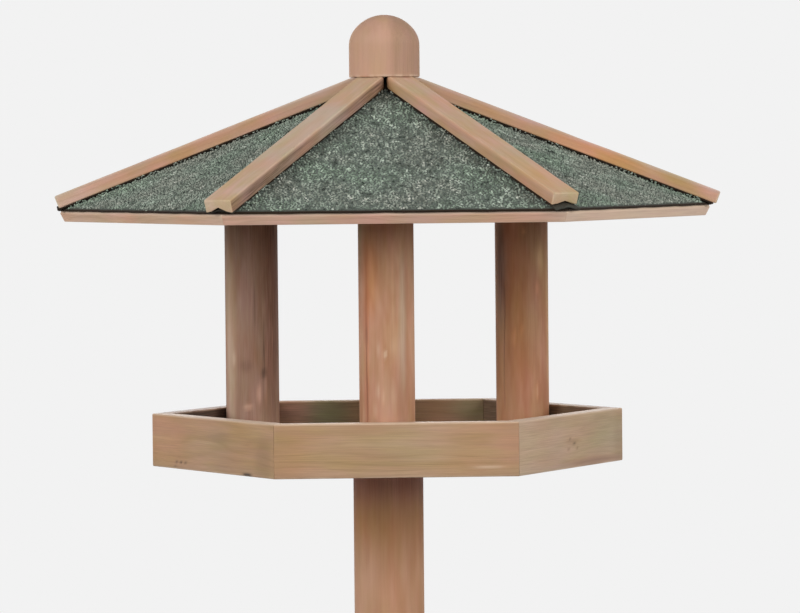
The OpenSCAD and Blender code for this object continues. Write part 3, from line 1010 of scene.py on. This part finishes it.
tray = {
    "ease": (1.1 * mm, 0.2 * mm, 1.1 * mm),    # the mitred ends are rounded less
    "gridStep": (2.5 * mm, 2.2 * mm, 2.2 * mm),
    "mitreLine": 0.03 * mm,   # half the open line in each mitre
    # Marks on the outsides: place along the board and height over its lower edge, half lengths along
    # and up, strength
    "marks": {
        "front_left": [(-64, 7, 2.5, 1, -1.1), (-56, 6.5, 2, 0.9, -1), (-48, 6, 2.5, 0.8, -0.8),
                       (-67, 2.5, 3, 0.9, -0.9), (62, 1, 8, 2, -1.3), (8, 31, 22, 4, -0.2),
                       (-4, 27, 12, 2, 0.15), (20, 36, 14, 1.2, -0.2), (90, 16, 14, 20, -0.25),
                       (60, 20, 50, 24, -0.12), (-86, 26, 26, 26, 0.16)],
        "front": [(81, 8.5, 13, 1.3, 0.6), (-60, 40, 40, 4, -0.12), (20, 12, 60, 3, -0.1),
                  (-20, 30, 50, 5, 0.1)],
        "front_right": [(1, 24, 15, 2.4, -0.3), (-4, 27, 2, 1, -0.8), (5, 22, 3, 1, -0.8),
                        (11, 17, 2, 1, -0.7), (-7, 17, 3, 1, -0.6), (40, 4, 70, 3, -0.55),
                        (-60, 30, 40, 10, 0.1), (104, 20, 14, 30, -0.25)],
    },
    "innerMarks": {
        "back": [(-113, 38, 2, 2, 0.9), (-112, 27, 4, 3, -0.4), (-68, 24, 36, 60, 0.15),
                 (65, 24, 40, 60, -0.1)],
    },
    # Where the stain is pinker or more olive, outside and inside
    "pinker": {
        "front_left": [(-90, 30, 40, 24, 0.7), (60, 16, 50, 24, -0.2)],
        "front": [(-20, 20, 70, 20, -0.3), (102, 26, 14, 22, 0.3), (-110, 25, 20, 20, -0.3)],
        "front_right": [(70, 24, 46, 20, -0.7), (40, 4, 70, 4, 0.7)],
    },
    "innerPinker": {
        "back_left": [(0, 20, 150, 60, 1.5)],
        "back": [(50, 30, 20, 40, -2.2), (88, 30, 22, 40, 1.2), (-90, 40, 24, 18, -1.5),
                 (-60, 20, 22, 30, 0.8)],
    },
    "tones": {"back": 0.05, "back_left": -0.05, "front_right": 0.19},
    # Inside faces darker: painted shade inside the tray and under the roof
    "innerShadedTone": -0.6,
    "innerShadedTones": {"back_right": -0.85, "back": -0.64, "back_left": -1.3},
    # The rim's top: painted light on the front boards, painted shade on the back ones
    "rimLightAndShadeTones": {"back_right": -0.3, "back_left": -0.6, "front_left": 1, "front": 1.1, "front_right": 1},
    "warmths": {"back_right": -0.4, "back": 0.2, "front": 0.15, "front_right": -0.8},
    "toneDrift": (0.12, 260 * mm),
    "warmthDrift": (0.3, 170 * mm),
    "lowerWarmth": -0.6,      # the stain is greyer along the lower edge
    "boards": 4,              # in the floor
    "boardEase": 1.1 * mm,
    "boardStep": (6 * mm, 4 * mm, 3 * mm),
    "joint": 0.4 * mm,        # half the open joint between them
}


def traySide(side):
    # A board on edge: a block whose length follows the mitre planes through its thickness
    inside, outside = -trayHigh[1], -trayLow[1]
    longHalf = outside * tanHalf - tray["mitreLine"]
    low, high = (inside, -longHalf, trayLow[2]), (outside, longHalf, trayHigh[2])
    points, depth, faces = block(low, high, tray["gridStep"], tray["ease"])
    out, across, height = points.T
    seed = 90 + sideNames.index(side)
    grain = np.stack([across + seed, height - trayHigh[2] + 12 * mm, out - outside - 34 * mm], 1)
    edge = np.clip(1 - depth / (1.6 * mm), 0, 1) * np.clip((longHalf - np.abs(across)) / (4 * mm), 0, 1)
    across = across * (out * tanHalf - tray["mitreLine"]) / longHalf
    points = turned(sideTurn[side], out, across, height)
    outward = out > (inside + outside) / 2
    above = height - trayLow[2]
    marked = spots(across, above, tray["marks"].get(side, []))
    outerTone = tray["tones"].get(side, 0) + wander(across, *tray["toneDrift"], seed) + marked
    # Painted shade inside the tray, with its marks
    innerShadedTone = tray["innerShadedTones"].get(side, tray["innerShadedTone"])
    innerShadedTone = innerShadedTone + spots(across, above, tray["innerMarks"].get(side, []))
    # Painted light and shade on the rim's top
    rim = np.clip((height - trayHigh[2]) / (1.6 * mm) + 1, 0, 1)
    tone = np.where(outward, outerTone, innerShadedTone) * (1 - rim) + rim * tray["rimLightAndShadeTones"].get(side, 0)
    lower = np.clip(1 - above / (9 * mm), 0, 1)
    warmth = tray["warmths"].get(side, 0) + wander(across, *tray["warmthDrift"], seed + 3)
    warmth = warmth + tray["lowerWarmth"] * lower
    flush = np.where(outward, spots(across, above, tray["pinker"].get(side, [])),
                     spots(across, above, tray["innerPinker"].get(side, [])))
    makePiece("tray_board_" + side, points, faces, trayWood, "tray_wood", ["tray_side_" + side],
              grainPlace=grain, tone=tone, arris=edge, tint=tinted(warmth, flush))


def trayFloor():
    # Boards side by side, with eased arrises, their ends cut to the hexagon: the half length shrinks
    # from the corner by the tangent of 30 degrees for each unit of distance from the middle
    reach = floorHigh[0]
    apothem = floorHigh[1]
    count = tray["boards"]
    width = 2 * apothem / count
    gap = tray["joint"]
    allPoints = []
    allFaces = []
    grains = []
    edges = []
    for k in range(count):
        low = (-reach, -apothem + k * width + gap, floorLow[2])
        high = (reach, -apothem + (k + 1) * width - gap, floorHigh[2])
        points, depth, faces = block(low, high, tray["boardStep"], tray["boardEase"])
        grains.append(points + np.array([2.3 * k, (k - 1) * 17 * mm, 30 * mm - floorHigh[2]]))
        edges.append(np.clip(1 - depth / (1.5 * mm), 0, 1))
        points[:, 0] *= (reach - np.abs(points[:, 1]) * tanHalf) / reach
        allFaces.append(faces[0] + sum(len(p) for p in allPoints))
        allPoints.append(points)
    makePiece("tray_floor_boards", np.concatenate(allPoints), [np.concatenate(allFaces)], floorWood,
              "floor_wood", ["tray_floor"], grainPlace=np.concatenate(grains),
              tone=0 * np.concatenate(edges), arris=np.concatenate(edges))


for side in sideNames:
    traySide(side)
trayFloor()
print("tray made")

# Stage, light and camera

studio = {
    "backdrop": "#F2F2F2",
    "ambient": 0.10,
    "bounce": 0.45,           # how much of the light the floor sends back up, whatever its looks
    "floorRadius": 7.0,
    "floorAngles": 96,
    "fade": (1.6, 6.5),       # where the floor begins and ends to thin out
    "aim": 0.08,              # height over the tray's rim at which the lamps are aimed
    # Bearing from the front and height in degrees, distance, size, and the share of white it gives
    "softboxes": {
        "left": (-57, 18, 4.2, (2.2, 2.2), 0.62),
        "front": (-4, 19, 4.6, (1.6, 2.2), 0.2),
        "right": (57, 18, 4.2, (2.2, 2.2), 0.63),
        "back": (180, 9, 4.6, (2.2, 1.4), 0.4),
    },
}

# A long lens just above the tray's rim, a little left of the front and pitched slightly down.
# Angles are in degrees
view = {
    "lens": 212.19,
    "sensor": 36,
    "distance": 4.34419,      # from the table's axis
    "above": 0.25595,         # over the tray's rim
    "heading": -2.3,
    "aside": 0.162,           # how far it looks to the right of the axis
    "pitch": 2.108,
    "roll": -0.556,
}


def makeFloor():
    # A level disc that fades out towards its rim, so that it meets the backdrop without a line
    rows = np.array([0.4, 0.9, 1.5, 2.2, 3, 4, 5.5, 7]) / 7 * studio["floorRadius"]
    count = studio["floorAngles"]
    angle = np.arange(count) * 2 * math.pi / count
    x = rows[:, None] * np.cos(angle)
    y = rows[:, None] * np.sin(angle)
    points = np.concatenate([np.stack([x, y, 0 * x], -1).reshape(-1, 3), [[0, 0, 0]]])
    first = np.arange(rows.size * count).reshape(rows.size, count)
    after = np.roll(first, -1, 1)
    quads = np.stack([first[:-1], first[1:], after[1:], after[:-1]], -1).reshape(-1, 4)
    middle = np.stack([first[0], after[0], np.full(count, rows.size * count)], 1)
    mesh = bpy.data.meshes.new("studio_floor")
    mesh.from_pydata(points.tolist(), [], quads.tolist() + middle.tolist())
    material, tree = newMaterial("paintedStudioFloor")
    # Matt pale paint; beyond a few metres it thins out to show the backdrop, and from below it is clear,
    # so that the undersides can be seen
    place = add(tree, "TexCoord").outputs["Object"]
    far = add(tree, "VectorMath", {0: place}, operation="LENGTH")
    near, end = studio["fade"]
    fade = add(tree, "MapRange", {"Value": far.outputs["Value"], "From Min": near, "From Max": end},
               interpolation_type="SMOOTHSTEP")
    mottle = add(tree, "TexNoise", {"Vector": place, "Scale": 3, "Detail": 3})
    paint = add(tree, "MapRange", {"Value": mottle.outputs["Fac"], "To Min": 0.86, "To Max": 0.9})
    seen = add(tree, "LightPath").outputs["Is Camera Ray"]
    tone = add(tree, "Mix", {0: seen, 2: studio["bounce"], 3: paint.outputs[0]})
    matt = add(tree, "BsdfPrincipled", {"Base Color": tone.outputs[0], "Roughness": 0.9})
    clear = add(tree, "BsdfTransparent")
    below = add(tree, "NewGeometry").outputs["Backfacing"]
    gone = add(tree, "Math", {0: fade.outputs[0], 1: below}, operation="MAXIMUM")
    both = add(tree, "MixShader", {0: gone.outputs[0], 1: matt.outputs[0], 2: clear.outputs[0]})
    add(tree, "OutputMaterial", {"Surface": both.outputs[0]})
    mesh.materials.append(material)
    floor = bpy.data.objects.new("studio_floor", mesh)
    bpy.context.scene.collection.objects.link(floor)


def makeWorld():
    # The backdrop's colour for what the camera and mirrors see, a plain weaker white for the light
    world = bpy.data.worlds.new("studio")
    world.use_nodes = True
    tree = world.node_tree
    tree.nodes.clear()
    rays = add(tree, "LightPath")
    seen = rays.outputs["Is Camera Ray"]
    for kind in ("Is Glossy Ray", "Is Transmission Ray"):
        seen = add(tree, "Math", {0: seen, 1: rays.outputs[kind]}, operation="MAXIMUM").outputs[0]
    backdrop = add(tree, "Background", {"Color": linear(studio["backdrop"]), "Strength": 1})
    ambient = add(tree, "Background", {"Color": (1, 1, 1, 1), "Strength": studio["ambient"]})
    both = add(tree, "MixShader", {0: seen, 1: ambient.outputs[0], 2: backdrop.outputs[0]})
    add(tree, "OutputWorld", {"Surface": both.outputs[0]})
    bpy.context.scene.world = world


def softbox(name, bearing, height, distance, size, level):
    # An area lamp aimed at the roof and tray. Level is the share of white it gives a surface that faces
    # it: watts = level x pi squared x distance squared
    lamp = bpy.data.lights.new(name, "AREA")
    lamp.shape = "RECTANGLE"
    lamp.size, lamp.size_y = size
    lamp.energy = level * math.pi ** 2 * distance ** 2
    holder = bpy.data.objects.new(name, lamp)
    turn = math.radians(bearing)
    rise = math.radians(height)
    aim = np.array([0, 0, trayHigh[2] + studio["aim"]])
    away = np.array([math.sin(turn) * math.cos(rise), -math.cos(turn) * math.cos(rise), math.sin(rise)])
    spin = Matrix.Rotation(turn, 4, "Z") @ Matrix.Rotation(math.pi / 2 - rise, 4, "X")
    holder.matrix_world = Matrix.Translation(aim + distance * away) @ spin
    holder.visible_camera = False
    bpy.context.scene.collection.objects.link(holder)


def makeCamera():
    # On a circle round the table's axis, turned about its own height, pitched and then rolled
    lens = bpy.data.cameras.new("camera")
    lens.lens = view["lens"]
    lens.sensor_width = view["sensor"]
    lens.clip_end = 100
    camera = bpy.data.objects.new("camera", lens)
    heading, aside, pitch, roll = (math.radians(view[key]) for key in ("heading", "aside", "pitch", "roll"))
    spin = Matrix.Rotation(heading - aside, 4, "Z") @ Matrix.Rotation(math.pi / 2 - pitch, 4, "X")
    distance = view["distance"]
    place = (distance * math.sin(heading), -distance * math.cos(heading), trayHigh[2] + view["above"])
    camera.matrix_world = Matrix.Translation(place) @ spin @ Matrix.Rotation(roll, 4, "Z")
    bpy.context.scene.collection.objects.link(camera)
    bpy.context.scene.camera = camera


makeFloor()
makeWorld()
for name, settings in studio["softboxes"].items():
    softbox(name + "_softbox", *settings)
makeCamera()
bpy.context.scene.view_settings.view_transform = "Standard"
print("stage, light and camera set")
